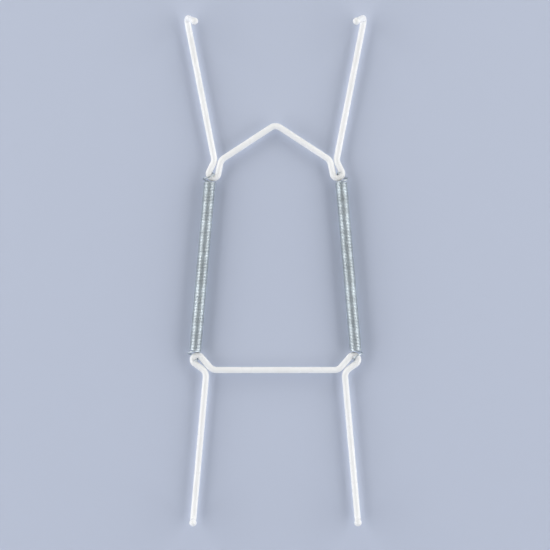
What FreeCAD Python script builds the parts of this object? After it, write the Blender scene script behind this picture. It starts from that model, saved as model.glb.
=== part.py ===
# Wire plate hanger, in millimetres. Two lengths of coated wire are bent to a frame that lies in the
# XZ plane, and two close-wound extension springs pull the frames together. The front is towards -Y.
# The origin is the underside of the peak, where the hanger rests on its wall hook.
import FreeCAD, Part
import math
import os
from FreeCAD import Placement, Rotation, Vector

doc = FreeCAD.newDocument("wire_plate_hanger")

# Driving dimensions: name, value in millimetres or degrees, meaning
SIZES = [
    ("wire_diameter", "2.6", "coated wire of both frames"),
    ("tip_diameter", "3", "bead of coat at each cut end"),
    ("spring_wire", "0.6", "wire of the springs"),
    ("spring_length", "70.5", "close-wound body of a spring at rest"),
    ("wall_spare", "0.03", "wall of the close-wound body beyond its wire, each side"),
    ("coil_play", "0.54", "side play of a frame wire inside a spring"),
    ("eye_play", "0.3", "play of a spring's wire in the slit of an eye"),
    ("link_clearance", "0.12", "space between an eye and the body of its spring"),
    ("coil_tilt", "25", "slope of the opened end coil up to the eye, in degrees"),
    ("coil_roll", "25", "slope of the opened end coil from the front to the back, in degrees"),
    ("coil_overhang", "0.55", "reach of the end coil past the outer side of the body"),
    ("coil_span", "235", "angle from the outer side of the opened end coil to its cut end, in degrees"),
    ("neck_gap", "0.04", "space between the two strands of an eye at the corners of its neck"),
    ("neck_bend", "4", "bend radius at the necks, on the centre line"),
    ("peak_bend", "3.5", "bend radius of the peak, on the centre line"),
    ("peak_slope", "33.2", "fall of the two sides of the peak, in degrees"),
    ("upper_neck_half", "22.5", "middle plane to the inner corner of an upper neck"),
    ("upper_neck_slant", "4", "fall from the inner to the outer corner of an upper neck, in degrees"),
    ("upper_eye_half", "25.6", "middle plane to the centre of an upper eye"),
    ("upper_eye_drop", "5.5", "inner corner of an upper neck down to the centre of its eye"),
    ("upper_claw_half", "36.7", "middle plane to the corner of an upper claw"),
    ("upper_claw_rise", "46.2", "wall hook up to the corner of an upper claw"),
    ("upper_claw_inset", "3.6", "lean of an upper claw towards the middle plane"),
    ("upper_claw_fall", "2.6", "lean of an upper claw towards the plate"),
    ("lower_eye_half", "32.2", "middle plane to the centre of a lower eye"),
    ("bar_half", "26", "middle plane to the end corner of the cross bar"),
    ("bar_drop", "4.2", "centre of a lower eye down to the cross bar"),
    ("lower_neck_slant", "17", "fall from the inner to the outer corner of a lower neck, in degrees"),
    ("lower_claw_half", "34", "middle plane to the corner of a lower claw"),
    ("lower_claw_drop", "62.6", "cross bar down to the corner of a lower claw"),
    ("lower_claw_inset", "0.3", "lean of a lower claw towards the middle plane"),
    ("lower_claw_rise", "0.6", "lean of a lower claw towards the plate"),
    ("claw_reach", "12", "wire plane forward to the bead of a claw"),
    ("claw_bend", "2.4", "bend radius of the claws, on the centre line"),
]

sheet = doc.addObject("Spreadsheet::Sheet", "Sizes")
for row, (name, value, meaning) in enumerate(SIZES, start=1):
    sheet.set(f"A{row}", meaning)
    sheet.set(f"B{row}", value)
    sheet.setAlias(f"B{row}", name)
doc.recompute()


def size(name):
    """A driving dimension as a number."""
    return float(sheet.get(name))


wire_radius = size("wire_diameter") / 2
body_wall = size("spring_wire") + 2 * size("wall_spare")
coil_radius = wire_radius + size("coil_play") + body_wall / 2
eye_radius = wire_radius + size("spring_wire") / 2 + size("eye_play")


# Paths in three dimensions. An arc is its first, middle and last point.
SAME_POINT = 1e-6


def round_corner(before, corner, after, radius):
    """The arc that rounds a corner between straight runs to the points before and after it."""
    back = (before - corner).normalize()
    ahead = (after - corner).normalize()
    half_turn = (math.pi - back.getAngle(ahead)) / 2
    run = radius * math.tan(half_turn)
    inset = radius * (1 / math.cos(half_turn) - 1)
    return corner + back * run, corner + (back + ahead).normalize() * inset, corner + ahead * run


def touch_point(point, centre, radius, side):
    """Where a line from a point touches a circle in the XZ plane, on the side +1 or -1."""
    away = point - centre
    angle = math.atan2(away.z, away.x) + side * math.acos(radius / away.Length)
    return centre + Vector(math.cos(angle), 0, math.sin(angle)) * radius


def outer_corner(inner, slant):
    """The outer corner of a neck, where the second strand of the eye lies against the first."""
    spacing = size("wire_diameter") + size("neck_gap")
    return inner + Vector(math.cos(slant), 0, -math.sin(slant)) * spacing


def eye_side(before, inner, slant, centre, side, claw_corner, claw_end):
    """The arcs of one side of a frame: neck, hairpin eye, neck again, and the bend of the claw."""
    outer = outer_corner(inner, math.radians(slant))
    enter = touch_point(inner, centre, eye_radius, side)
    leave = touch_point(outer, centre, eye_radius, -side)
    neck = (inner + outer) / 2
    far = centre + (centre - neck).normalize() * eye_radius
    return [
        round_corner(before, inner, enter, size("neck_bend")),
        (enter, far, leave),
        round_corner(leave, outer, claw_corner, size("neck_bend")),
        round_corner(outer, claw_corner, claw_end, size("claw_bend")),
    ]


def flipped(point):
    """The point on the other side of the middle plane."""
    return Vector(-point.x, point.y, point.z)


def mirrored(arcs):
    """The left side's arcs, in the order that leads up to the right side's."""
    return [tuple(flipped(p) for p in reversed(arc)) for arc in reversed(arcs)]


def path_wire(start, arcs, end):
    """One wire from a start to an end, with a straight run wherever two arcs do not meet."""
    edges = []
    reached = start
    for arc in arcs + [None]:
        target = arc[0] if arc else end
        if not reached.isEqual(target, SAME_POINT):
            edges.append(Part.LineSegment(reached, target).toShape())
        if arc:
            edges.append(Part.Arc(*arc).toShape())
            reached = arc[-1]
    return Part.Wire(edges)


def swept(name, wire, diameter):
    """A round section, bound to the sheet's diameter, swept along a wire of the document."""
    path = doc.addObject("Part::Feature", name + "_path")
    path.Shape = wire
    section = doc.addObject("Part::Circle", name + "_section")
    section.setExpression("Radius", f"Sizes.{diameter} / 2")
    first = wire.OrderedEdges[0]
    start, heading = wire.OrderedVertexes[0].Point, first.tangentAt(first.FirstParameter)
    section.Placement = Placement(start, Rotation(Vector(0, 0, 1), heading))
    sweep = doc.addObject("Part::Sweep", name + "_sweep")
    sweep.Sections = [section]
    sweep.Spine = (path, [f"Edge{i}" for i in range(1, len(wire.Edges) + 1)])
    sweep.Solid = True
    sweep.Frenet = False
    return sweep


def coated_wire(name, arcs, claw_end):
    """A frame: one wire swept along its path, with a bead of coat at both cut ends."""
    pieces = [swept(name, path_wire(flipped(claw_end), arcs, claw_end), "wire_diameter")]
    for side, centre in (("left", flipped(claw_end)), ("right", claw_end)):
        bead = doc.addObject("Part::Sphere", f"{name}_{side}_bead")
        bead.setExpression("Radius", "Sizes.tip_diameter / 2")
        bead.Placement = Placement(centre, Rotation())
        pieces.append(bead)
    frame = doc.addObject("Part::MultiFuse", name)
    frame.Shapes = pieces
    frame.Label = name
    return frame


# Upper wire: peak, necks and eyes, long arms, claws
slope = math.radians(size("peak_slope"))
peak = Vector(0, 0, wire_radius + size("peak_bend") * (1 / math.cos(slope) - 1))
upper_neck = peak + Vector(1, 0, -math.tan(slope)) * size("upper_neck_half")
upper_eye = Vector(size("upper_eye_half"), 0, upper_neck.z - size("upper_eye_drop"))
upper_claw = Vector(size("upper_claw_half"), 0, size("upper_claw_rise"))
upper_end = upper_claw + Vector(
    -size("upper_claw_inset"), -size("claw_reach"), -size("upper_claw_fall")
)
upper_slant = size("upper_neck_slant")
upper_side = eye_side(peak, upper_neck, upper_slant, upper_eye, 1, upper_claw, upper_end)
peak_arc = round_corner(flipped(upper_neck), peak, upper_neck, size("peak_bend"))
upper_wire = coated_wire("upper_wire", mirrored(upper_side) + [peak_arc] + upper_side, upper_end)

# Place of an eye on its spring, measured from the end of the close-wound body: inwards and along
tilt = math.radians(size("coil_tilt"))
eye_inward = coil_radius * (2 * math.cos(tilt) - 1) - size("coil_overhang")
eye_beyond = size("link_clearance") + eye_radius + wire_radius

# Lower wire: cross bar, necks and eyes, arms, claws. It hangs where the springs hold its eyes.
eye_distance = size("spring_length") + 2 * eye_beyond
eye_splay = size("lower_eye_half") - size("upper_eye_half")
eye_fall = math.sqrt(eye_distance**2 - eye_splay**2)
lower_eye = Vector(size("lower_eye_half"), 0, upper_eye.z - eye_fall)
bar_corner = Vector(size("bar_half"), 0, lower_eye.z - size("bar_drop"))
lower_claw = Vector(size("lower_claw_half"), 0, bar_corner.z - size("lower_claw_drop"))
lower_end = lower_claw + Vector(
    -size("lower_claw_inset"), -size("claw_reach"), size("lower_claw_rise")
)
lower_slant = size("lower_neck_slant")
bar_start = flipped(bar_corner)
lower_side = eye_side(bar_start, bar_corner, lower_slant, lower_eye, -1, lower_claw, lower_end)
lower_wire = coated_wire("lower_wire", mirrored(lower_side) + lower_side, lower_end)


# Springs, each worked out about its own axis: X is inwards to the middle plane, Z along the axis,
# and the middle of the close-wound body is at zero.


def end_coil_wire():
    """The end coil: half a turn that lifts off the body, then an opened turn round the strand of the
    eye. The two meet where the opened turn is lowest, and so level."""
    body_end = size("spring_length") / 2
    inward = Vector(math.cos(tilt), 0, math.sin(tilt))
    back = Vector(0, 1, math.tan(math.radians(size("coil_roll"))))
    back = (back - inward * inward.dot(back)).normalize()
    through = Vector(eye_inward, 0, body_end + eye_beyond)
    centre = through - inward * coil_radius

    def on_coil(turn):
        return centre - inward * coil_radius * math.cos(turn) - back * coil_radius * math.sin(turn)

    lowest = math.atan2(back.z, inward.z)
    hinge = on_coil(lowest)
    heading = inward * math.sin(lowest) - back * math.cos(lowest)
    across = Vector(-heading.y, heading.x, 0)
    offset = hinge.dot(heading)
    root = across * math.sqrt(coil_radius**2 - offset**2) + heading * offset
    root.z = body_end - body_wall / 2
    lead_middle = (root + hinge) / 2 - heading * (root - hinge).Length / 2

    span = math.radians(size("coil_span"))
    arcs = [
        (root, lead_middle, hinge),
        (hinge, on_coil((lowest + math.pi) / 2), through),
        (through, on_coil((math.pi + span) / 2), on_coil(span)),
    ]
    return path_wire(root, arcs, on_coil(span))


def close_wound_spring(name, side):
    """A spring: its body as a hollow wall, and the same open coil at both ends, turned over."""
    inside = "Sizes.wire_diameter / 2 + Sizes.coil_play"
    outside = f"{inside} + Sizes.spring_wire + 2 * Sizes.wall_spare"
    walls = []
    for wall, radius in (("outside", outside), ("inside", inside)):
        cylinder = doc.addObject("Part::Cylinder", f"{name}_{wall}")
        cylinder.setExpression("Radius", radius)
        cylinder.setExpression("Height", "Sizes.spring_length")
        cylinder.Placement = Placement(Vector(0, 0, -size("spring_length") / 2), Rotation())
        walls.append(cylinder)
    body = doc.addObject("Part::Cut", name + "_body")
    body.Base, body.Tool = walls
    top_coil = end_coil_wire()
    bottom_coil = top_coil.copy()
    bottom_coil.rotate(Vector(0, 0, 0), Vector(1, 0, 0), 180)
    spring = doc.addObject("Part::MultiFuse", name)
    spring.Shapes = [
        body,
        swept(name + "_top_coil", top_coil, "spring_wire"),
        swept(name + "_bottom_coil", bottom_coil, "spring_wire"),
    ]
    spring.Label = name
    along = Vector(side * (upper_eye.x - lower_eye.x), 0, upper_eye.z - lower_eye.z).normalize()
    front = Vector(0, -1, 0)
    inward = along.cross(front) * -side
    eyes_middle = (upper_eye + lower_eye) / 2
    place = Vector(side * eyes_middle.x, 0, eyes_middle.z) - inward * eye_inward
    turn = Rotation(inward, along.cross(inward), along, "ZXY")
    spring.Placement = Placement(place, turn)
    return spring


left_spring = close_wound_spring("left_spring", -1)
right_spring = close_wound_spring("right_spring", 1)

doc.recompute()
for item in doc.Objects:
    if "Invalid" in item.State or "Error" in item.State:
        raise RuntimeError(f"{item.Label} did not compute: {item.State}")

os.makedirs("parts", exist_ok=True)
sub_parts = [upper_wire, lower_wire, left_spring, right_spring]
for part in sub_parts:
    if part.Shape.isNull() or not part.Shape.isValid() or len(part.Shape.Solids) != 1:
        raise RuntimeError(f"{part.Label} is not one valid solid")
for part in sub_parts:
    part.Shape.exportStep(f"parts/{part.Label}.step")
    print(part.Label, round(part.Shape.Volume, 2), part.Shape.BoundBox)
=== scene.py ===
import math

import bpy
import numpy as np
from mathutils import Matrix, Vector


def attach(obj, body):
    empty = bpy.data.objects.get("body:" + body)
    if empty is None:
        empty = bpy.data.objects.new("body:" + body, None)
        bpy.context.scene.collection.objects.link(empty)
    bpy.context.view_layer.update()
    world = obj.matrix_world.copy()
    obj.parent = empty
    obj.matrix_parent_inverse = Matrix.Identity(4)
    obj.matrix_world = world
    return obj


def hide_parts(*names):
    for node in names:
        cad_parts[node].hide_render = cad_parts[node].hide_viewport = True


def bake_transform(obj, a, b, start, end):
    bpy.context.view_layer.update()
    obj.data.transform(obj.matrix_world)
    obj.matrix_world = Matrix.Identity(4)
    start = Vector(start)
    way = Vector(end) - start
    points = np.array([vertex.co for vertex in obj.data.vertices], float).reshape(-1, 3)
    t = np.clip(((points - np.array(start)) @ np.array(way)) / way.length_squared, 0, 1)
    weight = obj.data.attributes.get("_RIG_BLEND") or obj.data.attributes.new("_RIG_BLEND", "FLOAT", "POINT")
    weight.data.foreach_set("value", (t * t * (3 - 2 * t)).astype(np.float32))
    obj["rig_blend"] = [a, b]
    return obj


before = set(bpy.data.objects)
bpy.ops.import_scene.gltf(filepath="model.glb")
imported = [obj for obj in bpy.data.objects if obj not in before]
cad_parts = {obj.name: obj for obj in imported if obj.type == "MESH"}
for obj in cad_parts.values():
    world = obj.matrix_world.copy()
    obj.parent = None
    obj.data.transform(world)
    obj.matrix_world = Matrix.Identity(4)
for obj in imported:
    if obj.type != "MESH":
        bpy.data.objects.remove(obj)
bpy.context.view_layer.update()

MM = 0.001
UP = np.array([0.0, 0.0, 1.0])
FRONT = np.array([0.0, -1.0, 0.0])

# Coated wire of both frames
WIRE_RADIUS = 1.3 * MM
BEAD_RADIUS = 1.5 * MM
BEAD_RUN = 1.6 * MM
NECK_SPACING = 2.64 * MM
NECK_BEND = 4.0 * MM
PEAK_BEND = 3.5 * MM
CLAW_BEND = 2.4 * MM
CLAW_REACH = 12.0 * MM
EYE_RADIUS = 1.9 * MM

# Upper wire
PEAK_SLOPE = math.radians(33.2)
UPPER_NECK_HALF = 22.5 * MM
UPPER_NECK_SLANT = math.radians(4)
UPPER_EYE_HALF = 25.6 * MM
UPPER_EYE_DROP = 5.5 * MM
UPPER_CLAW = np.array([36.7, 0, 46.2]) * MM
UPPER_CLAW_LEAN = np.array([-3.6, 0, -2.6]) * MM

# Lower wire
LOWER_EYE_HALF = 32.2 * MM
BAR_HALF = 26.0 * MM
BAR_DROP = 4.2 * MM
LOWER_NECK_SLANT = math.radians(17)
LOWER_CLAW_HALF = 34.0 * MM
LOWER_CLAW_DROP = 62.6 * MM
LOWER_CLAW_LEAN = np.array([-0.3, 0, 0.6]) * MM

# Springs
SPRING_WIRE_RADIUS = 0.3 * MM
SPRING_LENGTH = 70.5 * MM
BODY_WALL = 0.66 * MM
COIL_RADIUS = 2.17 * MM
LINK_CLEARANCE = 0.12 * MM
COIL_TILT = math.radians(25)
COIL_ROLL = math.radians(25)
COIL_OVERHANG = 0.55 * MM
COIL_SPAN = math.radians(235)

# Picture: the camera looks squarely at the hanger and takes in this width where the wires lie
VIEW_WIDTH = 226.9 * MM
VIEW_CENTRE = np.array([-0.2, 0, -60.1]) * MM
CAMERA_DISTANCE = 1.2
SENSOR_WIDTH = 36.0


def unit(vector):
    """A vector divided by its length."""
    return vector / np.linalg.norm(vector)


def flipped(points):
    """The points on the other side of the middle plane: x changes its sign."""
    return points * np.array([-1.0, 1.0, 1.0])


# Centre lines

ARC_POINTS = 60


def arc(centre, first, heading, angle):
    """Points of a circle: centre + spoke * cos(a) + heading * radius * sin(a), for a from 0 to angle."""
    spoke = first - centre
    turn = np.linspace(0, angle, ARC_POINTS)[:, None]
    return centre + spoke * np.cos(turn) + heading * np.linalg.norm(spoke) * np.sin(turn)


def bend(before, corner, after, radius):
    """The arc that rounds a corner. It leaves the first run radius * tan(turn / 2) before the corner,
    and its centre lies radius / cos(turn / 2) from the corner, on the line that halves the angle."""
    back, ahead = unit(before - corner), unit(after - corner)
    turn = math.pi - math.acos(back @ ahead)
    first = corner + back * radius * math.tan(turn / 2)
    centre = corner + unit(back + ahead) * radius / math.cos(turn / 2)
    return arc(centre, first, -back, turn)


def touch_point(point, centre, side):
    """Where a line from a point touches the eye's circle: the angle of the point, seen from the
    centre, plus or minus the arc cosine of radius over distance."""
    away = point - centre
    angle = math.atan2(away[2], away[0]) + side * math.acos(EYE_RADIUS / np.linalg.norm(away))
    return centre + EYE_RADIUS * np.array([math.cos(angle), 0, math.sin(angle)])


def hairpin(inner, outer, centre, side):
    """The eye: the arc round its centre from the touching line of the inner corner, by the far side,
    to the touching line of the outer corner."""
    enter = touch_point(inner, centre, side)
    leave = touch_point(outer, centre, -side)
    heading = unit(enter - inner)
    axis = unit(np.cross(enter - centre, heading))
    swept = axis @ np.cross(enter - centre, leave - centre)
    angle = math.atan2(swept, (enter - centre) @ (leave - centre)) % math.tau
    return arc(centre, enter, heading, angle)


def frame_side(before, inner, slant, centre, side, claw, claw_end):
    """The right half of a frame: neck bend, eye, neck bend, claw bend and the claw's end."""
    outer = inner + NECK_SPACING * np.array([math.cos(slant), 0, -math.sin(slant)])
    eye = hairpin(inner, outer, centre, side)
    return np.concatenate([
        bend(before, inner, eye[0], NECK_BEND),
        eye,
        bend(eye[-1], outer, claw, NECK_BEND),
        bend(outer, claw, claw_end, CLAW_BEND),
        claw_end[None],
    ])


def lengths_along(points):
    """The distance along a line up to each of its points: the running sum of its steps."""
    steps = np.linalg.norm(np.diff(points, axis=0), axis=1)
    return np.concatenate([[0], np.cumsum(steps)])


def evenly(points, spacing):
    """Distances and places along a line at even steps: each coordinate is interpolated on the length
    that runs up to it."""
    length = lengths_along(points)
    stations = np.linspace(0, length[-1], round(length[-1] / spacing) + 1)
    places = np.stack([np.interp(stations, length, points[:, axis]) for axis in range(3)], axis=1)
    return stations, places


# Surfaces


def carried_normals(tangents):
    """Normals carried along a path without twist: each is the one before it, less its share along
    the new tangent, made one long."""
    normals = np.empty_like(tangents)
    normal = unit(np.cross(tangents[0], UP + FRONT))
    for station, tangent in enumerate(tangents):
        normal = unit(normal - tangent * (normal @ tangent))
        normals[station] = normal
    return normals


def round_tube(name, centres, radii, sides, poles):
    """A round section carried along a path: centre + radius * (cos(a) * normal + sin(a) * binormal),
    with a from 0 to a full turn. Both ends close on a pole. Its UV map holds the share of a turn round
    the section and the distance along the path in millimetres."""
    tangents = np.gradient(centres, axis=0)
    tangents /= np.linalg.norm(tangents, axis=1, keepdims=True)
    normals = carried_normals(tangents)
    binormals = np.cross(tangents, normals)
    turn = np.linspace(0, math.tau, sides, endpoint=False)[None, :, None]
    section = np.cos(turn) * normals[:, None] + np.sin(turn) * binormals[:, None]
    rings = centres[:, None] + radii[:, None, None] * section
    vertices = np.concatenate([rings.reshape(-1, 3), poles])

    count = len(centres)
    number = np.arange(count * sides).reshape(count, sides)
    across = np.roll(number, -1, axis=1)
    walls = np.stack([number[:-1], across[:-1], across[1:], number[1:]], axis=2).reshape(-1, 4)
    start, end = count * sides, count * sides + 1
    start_fan = np.stack([np.full(sides, start), across[0], number[0]], axis=1)
    end_fan = np.stack([np.full(sides, end), number[-1], across[-1]], axis=1)

    mesh = bpy.data.meshes.new(name)
    mesh.from_pydata(vertices.tolist(), [], walls.tolist() + start_fan.tolist() + end_fan.tolist())
    along = lengths_along(centres) / MM
    column = np.arange(sides)[:, None]
    wall_u = (column + np.array([0, 1, 1, 0])) / sides
    wall_v = np.stack([along[:-1], along[:-1], along[1:], along[1:]], axis=1)
    start_u = (column + np.array([0.5, 1, 0])) / sides
    end_u = (column + np.array([0.5, 0, 1])) / sides
    corners = ((wall_u[None], wall_v[:, None]), (start_u, along[0]), (end_u, along[-1]))
    uv_values = [np.stack(np.broadcast_arrays(*pair), axis=-1).ravel() for pair in corners]
    uv = mesh.uv_layers.new(name="wire")
    uv.data.foreach_set("uv", np.concatenate(uv_values))
    mesh.shade_smooth()
    mesh.validate()
    piece = bpy.data.objects.new(name, mesh)
    bpy.context.scene.collection.objects.link(piece)
    return piece


def point_attribute(piece, name, values):
    """Stores one number for each vertex of a piece."""
    held = piece.data.attributes.get(name) or piece.data.attributes.new(name, "FLOAT", "POINT")
    held.data.foreach_set("value", values.astype(np.float32))


# Coated wires

WIRE_STEP = 0.25 * MM
WIRE_SIDES = 36
BEAD_RINGS = 9
COAT_SHY = 0.01 * MM
COAT_RIPPLE = 0.012
RIPPLE_SHORT = 3.1 * MM
RIPPLE_LONG = 7.7 * MM
RIPPLE_SHIFT = 1.0
RUB_REACH = 2.4 * MM


def smooth_step(share):
    """0 below 0, 1 above 1 and 3 t^2 - 2 t^3 between."""
    t = np.clip(share, 0, 1)
    return t * t * (3 - 2 * t)


def coated_wire(name, half_path, eye):
    """A frame's wire from claw to claw. The radius swells to the bead over the last run, the bead ends
    as half a sphere, and the coat thins by a share of a slow ripple between. All of it lies a hair
    inside the solid."""
    wire_radius, bead_radius = WIRE_RADIUS - COAT_SHY, BEAD_RADIUS - COAT_SHY
    stations, places = evenly(np.concatenate([flipped(half_path[::-1]), half_path]), WIRE_STEP)
    from_end = np.minimum(stations, stations[-1] - stations)
    ripple = 0.5 + 0.5 * np.sin(stations / RIPPLE_SHORT) * np.sin(stations / RIPPLE_LONG + RIPPLE_SHIFT)
    thin = wire_radius * (1 - COAT_RIPPLE * ripple * smooth_step(from_end / BEAD_RUN - 1))
    radii = thin + (bead_radius - thin) * smooth_step(1 - from_end / BEAD_RUN)

    lift = np.linspace(0, math.pi / 2, BEAD_RINGS, endpoint=False)[1:]
    start_way, end_way = unit(places[0] - places[1]), unit(places[-1] - places[-2])
    start_cap = places[0] + np.outer(bead_radius * np.sin(lift), start_way)
    end_cap = places[-1] + np.outer(bead_radius * np.sin(lift), end_way)
    cap_radii = bead_radius * np.cos(lift)
    centres = np.concatenate([start_cap[::-1], places, end_cap])
    poles = np.stack([places[0] + bead_radius * start_way, places[-1] + bead_radius * end_way])
    all_radii = np.concatenate([cap_radii[::-1], radii, cap_radii])
    piece = round_tube(name, centres, all_radii, WIRE_SIDES, poles)

    surface = np.empty(len(piece.data.vertices) * 3, np.float32)
    piece.data.vertices.foreach_get("co", surface)
    surface = surface.reshape(-1, 3)
    beside = np.abs(surface) * np.array([1, 0, 0]) + surface * np.array([0, 1, 1])
    point_attribute(piece, "rub", np.exp(-np.sum((beside - eye) ** 2, axis=1) / RUB_REACH**2))
    return piece


peak = UP * (WIRE_RADIUS + PEAK_BEND * (1 / math.cos(PEAK_SLOPE) - 1))
upper_neck = peak + UPPER_NECK_HALF * np.array([1, 0, -math.tan(PEAK_SLOPE)])
upper_eye = np.array([UPPER_EYE_HALF, 0, upper_neck[2] - UPPER_EYE_DROP])
upper_end = UPPER_CLAW + UPPER_CLAW_LEAN + FRONT * CLAW_REACH
peak_bend = bend(flipped(upper_neck), peak, upper_neck, PEAK_BEND)
upper_half = frame_side(peak, upper_neck, UPPER_NECK_SLANT, upper_eye, 1, UPPER_CLAW, upper_end)
upper_path = np.concatenate([peak_bend[ARC_POINTS // 2:], upper_half])

eye_inward = COIL_RADIUS * (2 * math.cos(COIL_TILT) - 1) - COIL_OVERHANG
eye_beyond = LINK_CLEARANCE + EYE_RADIUS + WIRE_RADIUS
eye_fall = math.sqrt((SPRING_LENGTH + 2 * eye_beyond) ** 2 - (LOWER_EYE_HALF - UPPER_EYE_HALF) ** 2)
lower_eye = np.array([LOWER_EYE_HALF, 0, upper_eye[2] - eye_fall])
bar_corner = np.array([BAR_HALF, 0, lower_eye[2] - BAR_DROP])
lower_claw = np.array([LOWER_CLAW_HALF, 0, bar_corner[2] - LOWER_CLAW_DROP])
lower_end = lower_claw + LOWER_CLAW_LEAN + FRONT * CLAW_REACH
bar_start = flipped(bar_corner)
lower_path = frame_side(bar_start, bar_corner, LOWER_NECK_SLANT, lower_eye, -1, lower_claw, lower_end)

upper_wire = coated_wire("upper_wire_coated", upper_path, upper_eye)
lower_wire = coated_wire("lower_wire_coated", lower_path, lower_eye)

# Wound springs

SPRING_STEP = 0.32 * MM
SPRING_SIDES = 10
TURN_POINTS = 60
SPRING_WOBBLE = 0.018 * MM
WOBBLE_SLOW = 0.83
WOBBLE_QUICK = 2.9
WOBBLE_SHIFT = 0.7
CUT_CHAMFER = 0.06 * MM


def wound_path():
    """A spring's wire about its own axis, with x inwards to the middle plane and z along the axis. The
    body is a right-hand helix, radius * (cos(a), sin(a)) with z rising as a grows, and its radius wavers
    by the product of two sines. Each end leaves it by half a turn that lifts off, and ends in an opened
    turn round the eye's strand: a circle through the eye in a plane that slopes up to the eye and up to
    the back. They meet where the circle is lowest. Each point also gets its share of a stretch."""
    body_end = SPRING_LENGTH / 2
    inward = np.array([math.cos(COIL_TILT), 0, math.sin(COIL_TILT)])
    back = UP * math.tan(COIL_ROLL) - FRONT
    back = unit(back - inward * (inward @ back))
    ring_centre = np.array([eye_inward, 0, body_end + eye_beyond]) - inward * COIL_RADIUS
    lowest = math.atan2(back[2], inward[2])
    hinge = ring_centre - COIL_RADIUS * (inward * math.cos(lowest) + back * math.sin(lowest))
    heading = inward * math.sin(lowest) - back * math.cos(lowest)
    offset = hinge @ heading
    root = np.cross(UP, heading) * math.sqrt(COIL_RADIUS**2 - offset**2) + heading * offset
    root[2] = body_end - BODY_WALL / 2
    lead = arc((root + hinge) / 2, root, -heading, math.pi)
    ring = arc(ring_centre, hinge, heading, COIL_SPAN - lowest)
    top = np.concatenate([lead[1:], ring[1:]])
    bottom = (top * np.array([1, -1, -1]))[::-1]

    turns = math.floor(root[2] / SPRING_WIRE_RADIUS)
    lead_in = math.atan2(root[1], root[0])
    share = np.linspace(0, 1, turns * TURN_POINTS + 1)
    angle = (math.tau * turns + 2 * lead_in) * share - lead_in
    turn = turns * share
    wobble = SPRING_WOBBLE * np.sin(WOBBLE_SLOW * turn) * np.sin(WOBBLE_QUICK * turn + WOBBLE_SHIFT)
    radius = COIL_RADIUS + wobble * smooth_step(turns * np.minimum(share, 1 - share))
    height = root[2] * (2 * share - 1)
    body = np.stack([radius * np.cos(angle), radius * np.sin(angle), height], axis=1)
    stretch = np.concatenate([np.ones(len(bottom)), 1 - share, np.zeros(len(top))])
    return np.concatenate([bottom, body, top]), stretch


def wound_spring(name, side):
    """A spring hung between its eyes: its wire is carried along the wound path and ends in a chamfered
    cut. In a stretch each section moves as a whole, by its share of the turns below the upper end."""
    along = unit((upper_eye - lower_eye) * np.array([side, 1, 1]))
    inward = np.cross(along, FRONT) * -side
    middle = (upper_eye + lower_eye) / 2 * np.array([side, 1, 1]) - inward * eye_inward
    path, share = wound_path()
    path = middle + path @ np.stack([inward, np.cross(along, inward), along])
    stations, centres = evenly(path, SPRING_STEP)
    share = np.interp(stations, lengths_along(path), share)
    radii = np.full(len(centres), SPRING_WIRE_RADIUS)
    radii[[0, -1]] = SPRING_WIRE_RADIUS - CUT_CHAMFER
    piece = round_tube(name, centres, radii, SPRING_SIDES, centres[[0, -1]])
    upper_point, lower_point = (eye * np.array([side, 1, 1]) for eye in (upper_eye, lower_eye))
    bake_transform(piece, "upper", "lower", start=tuple(upper_point), end=tuple(lower_point))
    point_attribute(piece, "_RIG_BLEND", np.concatenate([np.repeat(share, SPRING_SIDES), share[[0, -1]]]))
    return piece


left_spring = wound_spring("left_spring_coils", -1)
right_spring = wound_spring("right_spring_coils", 1)

# Materials

# Places of the colour sockets among all the sockets of a Mix node
MIX_FIRST, MIX_SECOND, MIX_RESULT = 6, 7, 2
# Part of the noise's range that the tone spreads out, and detail of the broad and the fine noise
TONE_FROM = (0.35, 0.65)
BROAD_DETAIL = 3
FINE_DETAIL = 2


def new_material(name):
    """A material with its nodes and links, and its Principled BSDF."""
    material = bpy.data.materials.new(name)
    material.use_nodes = True
    nodes, links = material.node_tree.nodes, material.node_tree.links
    return material, nodes, links, nodes["Principled BSDF"]


def mottle_group():
    """Uneven finish: a broad tone from 0 to 1 and a fine height, both noise on the given coordinates."""
    group = bpy.data.node_groups.new("uneven_finish", "ShaderNodeTree")
    sockets = group.interface
    sockets.new_socket("Vector", in_out="INPUT", socket_type="NodeSocketVector")
    sockets.new_socket("Broad Scale", in_out="INPUT", socket_type="NodeSocketFloat")
    sockets.new_socket("Fine Scale", in_out="INPUT", socket_type="NodeSocketFloat")
    sockets.new_socket("Tone", in_out="OUTPUT", socket_type="NodeSocketFloat")
    sockets.new_socket("Height", in_out="OUTPUT", socket_type="NodeSocketFloat")
    nodes, links = group.nodes, group.links
    given, result = nodes.new("NodeGroupInput"), nodes.new("NodeGroupOutput")
    broad, fine = nodes.new("ShaderNodeTexNoise"), nodes.new("ShaderNodeTexNoise")
    broad.inputs["Detail"].default_value = BROAD_DETAIL
    fine.inputs["Detail"].default_value = FINE_DETAIL
    spread = nodes.new("ShaderNodeMapRange")
    spread.inputs["From Min"].default_value, spread.inputs["From Max"].default_value = TONE_FROM
    for noise, scale in ((broad, "Broad Scale"), (fine, "Fine Scale")):
        links.new(given.outputs["Vector"], noise.inputs["Vector"])
        links.new(given.outputs[scale], noise.inputs["Scale"])
    links.new(broad.outputs["Fac"], spread.inputs["Value"])
    links.new(spread.outputs["Result"], result.inputs["Tone"])
    links.new(fine.outputs["Fac"], result.inputs["Height"])
    return group


uneven_finish = mottle_group()


def placed_finish(nodes, links, vector, broad_scale, fine_scale):
    """The uneven finish placed in a material with its own scales."""
    finish = nodes.new("ShaderNodeGroup")
    finish.node_tree = uneven_finish
    finish.inputs["Broad Scale"].default_value = broad_scale
    finish.inputs["Fine Scale"].default_value = fine_scale
    links.new(vector, finish.inputs["Vector"])
    return finish


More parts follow.
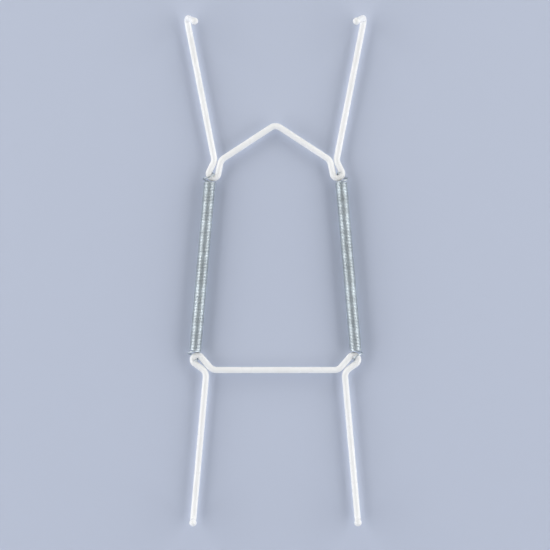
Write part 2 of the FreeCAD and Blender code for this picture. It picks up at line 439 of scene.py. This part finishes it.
def mixed_colour(nodes, links, factor, first, second):
    """A colour between two, by a factor that changes over the surface. Either may be a socket."""
    mix = nodes.new("ShaderNodeMix")
    mix.data_type = "RGBA"
    links.new(factor, mix.inputs["Factor"])
    for given, socket in ((first, mix.inputs[MIX_FIRST]), (second, mix.inputs[MIX_SECOND])):
        if isinstance(given, bpy.types.NodeSocket):
            links.new(given, socket)
        else:
            socket.default_value = (*given, 1)
    return mix.outputs[MIX_RESULT]


def ranged(nodes, links, value, low, high):
    """A value from 0 to 1 spread from low to high."""
    spread = nodes.new("ShaderNodeMapRange")
    spread.inputs["To Min"].default_value = low
    spread.inputs["To Max"].default_value = high
    links.new(value, spread.inputs["Value"])
    return spread.outputs["Result"]


def bumped(nodes, links, shader, height, depth):
    """A bump of a given depth in metres on the shader's normal."""
    bump = nodes.new("ShaderNodeBump")
    bump.inputs["Distance"].default_value = depth
    links.new(height, bump.inputs["Height"])
    links.new(bump.outputs["Normal"], shader.inputs["Normal"])


WHITE_COAT = (0.90, 0.90, 0.89)
DULL_COAT = (0.85, 0.85, 0.835)
RUBBED_COAT = (0.52, 0.52, 0.52)
SCUFF_SPREAD = (-0.5, 1.0)
COAT_TONE_SCALE = 130
COAT_PEEL_SCALE = 1500
COAT_ROUGHNESS = (0.24, 0.36)
COAT_PEEL_DEPTH = 0.03 * MM


def white_coat():
    """White plastic coat: glossy, a little uneven in tone, with a fine peel and grey rub marks where
    the springs hang in the eyes."""
    material, nodes, links, shader = new_material("white_coat")
    place = nodes.new("ShaderNodeTexCoord").outputs["Object"]
    finish = placed_finish(nodes, links, place, COAT_TONE_SCALE, COAT_PEEL_SCALE)
    tone = mixed_colour(nodes, links, finish.outputs["Tone"], WHITE_COAT, DULL_COAT)
    rub = nodes.new("ShaderNodeAttribute")
    rub.attribute_name = "rub"
    scuffs = nodes.new("ShaderNodeMath")
    scuffs.operation = "MULTIPLY"
    links.new(rub.outputs["Fac"], scuffs.inputs[0])
    links.new(ranged(nodes, links, finish.outputs["Height"], *SCUFF_SPREAD), scuffs.inputs[1])
    colour = mixed_colour(nodes, links, scuffs.outputs["Value"], tone, RUBBED_COAT)
    links.new(colour, shader.inputs["Base Color"])
    links.new(ranged(nodes, links, finish.outputs["Tone"], *COAT_ROUGHNESS), shader.inputs["Roughness"])
    bumped(nodes, links, shader, finish.outputs["Height"], COAT_PEEL_DEPTH)
    return material


BRIGHT_STEEL = (0.645, 0.705, 0.73)
DULL_STEEL = (0.497, 0.54, 0.556)
DRAWN_LINES = (6, 0.12, 1)
STEEL_TONE_SCALE = 0.08
STEEL_LINE_SCALE = 5
STEEL_ROUGHNESS = (0.43, 0.49)
STEEL_LINE_DEPTH = 0.01 * MM


def spring_steel():
    """Bright drawn steel wire: fine lines along the wire, and tone and gloss that change slowly over
    the turns."""
    material, nodes, links, shader = new_material("spring_steel")
    lines = nodes.new("ShaderNodeMapping")
    lines.inputs["Scale"].default_value = DRAWN_LINES
    links.new(nodes.new("ShaderNodeTexCoord").outputs["UV"], lines.inputs["Vector"])
    finish = placed_finish(nodes, links, lines.outputs["Vector"], STEEL_TONE_SCALE, STEEL_LINE_SCALE)
    colour = mixed_colour(nodes, links, finish.outputs["Tone"], BRIGHT_STEEL, DULL_STEEL)
    links.new(colour, shader.inputs["Base Color"])
    links.new(ranged(nodes, links, finish.outputs["Tone"], *STEEL_ROUGHNESS), shader.inputs["Roughness"])
    shader.inputs["Metallic"].default_value = 1
    bumped(nodes, links, shader, finish.outputs["Height"], STEEL_LINE_DEPTH)
    return material


coat, steel = white_coat(), spring_steel()
for piece, node, body in ((upper_wire, "upper_wire", "upper"), (lower_wire, "lower_wire", "lower")):
    piece.data.materials.append(coat)
    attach(piece, body)
    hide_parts(node)
for piece, node in ((left_spring, "left_spring"), (right_spring, "right_spring")):
    piece.data.materials.append(steel)
    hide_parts(node)

# Studio: a pale sheet hangs just behind the hanger and runs out into the floor

SHEET_BEHIND = 3.1 * MM
SHEET_HALF = 0.7
SHEET_REACH = 1.5
FLOOR_HEIGHT = -0.92
SWEEP_RADIUS = 0.07
SWEEP_POINTS = 24
SHEET_COLOUR = (0.485, 0.53, 0.64)
SHEET_ROUGHNESS = 0.85


def studio_sheet():
    """A profile carried along x: level floor, quarter circle, upright wall. Only its front shows, and
    the light of the back lamp passes it."""
    quarter = np.linspace(0, math.pi / 2, SWEEP_POINTS)
    bend_y = SHEET_BEHIND - SWEEP_RADIUS + SWEEP_RADIUS * np.sin(quarter)
    bend_z = FLOOR_HEIGHT + SWEEP_RADIUS - SWEEP_RADIUS * np.cos(quarter)
    profile_y = np.concatenate([[-SHEET_REACH], bend_y, [SHEET_BEHIND]])
    profile_z = np.concatenate([[FLOOR_HEIGHT], bend_z, [SHEET_REACH]])
    count = len(profile_y)
    sides = np.repeat([-SHEET_HALF, SHEET_HALF], count)
    vertices = np.stack([sides, np.tile(profile_y, 2), np.tile(profile_z, 2)], axis=1)
    row = np.arange(count - 1)
    faces = np.stack([row, row + count, row + count + 1, row + 1], axis=1)
    mesh = bpy.data.meshes.new("studio_sheet")
    mesh.from_pydata(vertices.tolist(), [], faces.tolist())
    mesh.shade_smooth()
    sheet = bpy.data.objects.new("studio_sheet", mesh)
    bpy.context.scene.collection.objects.link(sheet)

    material, nodes, links, shader = new_material("pale_sheet")
    shader.inputs["Base Color"].default_value = (*SHEET_COLOUR, 1)
    shader.inputs["Roughness"].default_value = SHEET_ROUGHNESS
    see_through = nodes.new("ShaderNodeBsdfTransparent")
    one_sided = nodes.new("ShaderNodeMixShader")
    let_through = nodes.new("ShaderNodeMath")
    let_through.operation = "MAXIMUM"
    links.new(nodes.new("ShaderNodeNewGeometry").outputs["Backfacing"], let_through.inputs[0])
    links.new(nodes.new("ShaderNodeLightPath").outputs["Is Shadow Ray"], let_through.inputs[1])
    links.new(let_through.outputs["Value"], one_sided.inputs["Fac"])
    links.new(shader.outputs["BSDF"], one_sided.inputs[1])
    links.new(see_through.outputs["BSDF"], one_sided.inputs[2])
    links.new(one_sided.outputs["Shader"], nodes["Material Output"].inputs["Surface"])
    mesh.materials.append(material)


# Lamps: name, place, width and height in metres, power in watts
LAMPS = (
    ("side_lamp_0", (-0.92, -0.45, -0.06), (0.75, 1.7), 12.0),
    ("side_lamp_1", (0.92, -0.45, -0.06), (0.75, 1.7), 12.0),
    ("top_lamp", (0.0, -0.4, 1.0), (1.0, 0.5), 3.4),
    ("back_lamp", (0.0, 1.0, 0.3), (1.2, 1.2), 8.0),
)
WORLD_COLOUR = (0.96, 0.98, 1.0)
WORLD_STRENGTH = 0.17


def soft_lamp(name, place, size, power):
    """A rectangular lamp that faces the middle of the hanger and stays out of the picture."""
    lamp = bpy.data.lights.new(name, "AREA")
    lamp.shape = "RECTANGLE"
    lamp.size, lamp.size_y = size
    lamp.energy = power
    holder = bpy.data.objects.new(name, lamp)
    facing = (Vector(VIEW_CENTRE) - Vector(place)).to_track_quat("-Z", "Y")
    holder.visible_camera = False
    holder.matrix_world = Matrix.Translation(place) @ facing.to_matrix().to_4x4()
    bpy.context.scene.collection.objects.link(holder)


studio_sheet()
for lamp_facts in LAMPS:
    soft_lamp(*lamp_facts)

world = bpy.data.worlds.new("studio")
world.use_nodes = True
background = world.node_tree.nodes["Background"]
background.inputs["Color"].default_value = (*WORLD_COLOUR, 1)
background.inputs["Strength"].default_value = WORLD_STRENGTH
scene = bpy.context.scene
scene.world = world
scene.view_settings.view_transform = "Standard"

camera_data = bpy.data.cameras.new("camera")
camera_data.sensor_width = SENSOR_WIDTH
camera_data.lens = SENSOR_WIDTH * CAMERA_DISTANCE / VIEW_WIDTH
camera = bpy.data.objects.new("camera", camera_data)
camera.location = VIEW_CENTRE + FRONT * CAMERA_DISTANCE
camera.rotation_euler = (math.pi / 2, 0, 0)
scene.collection.objects.link(camera)
scene.camera = camera
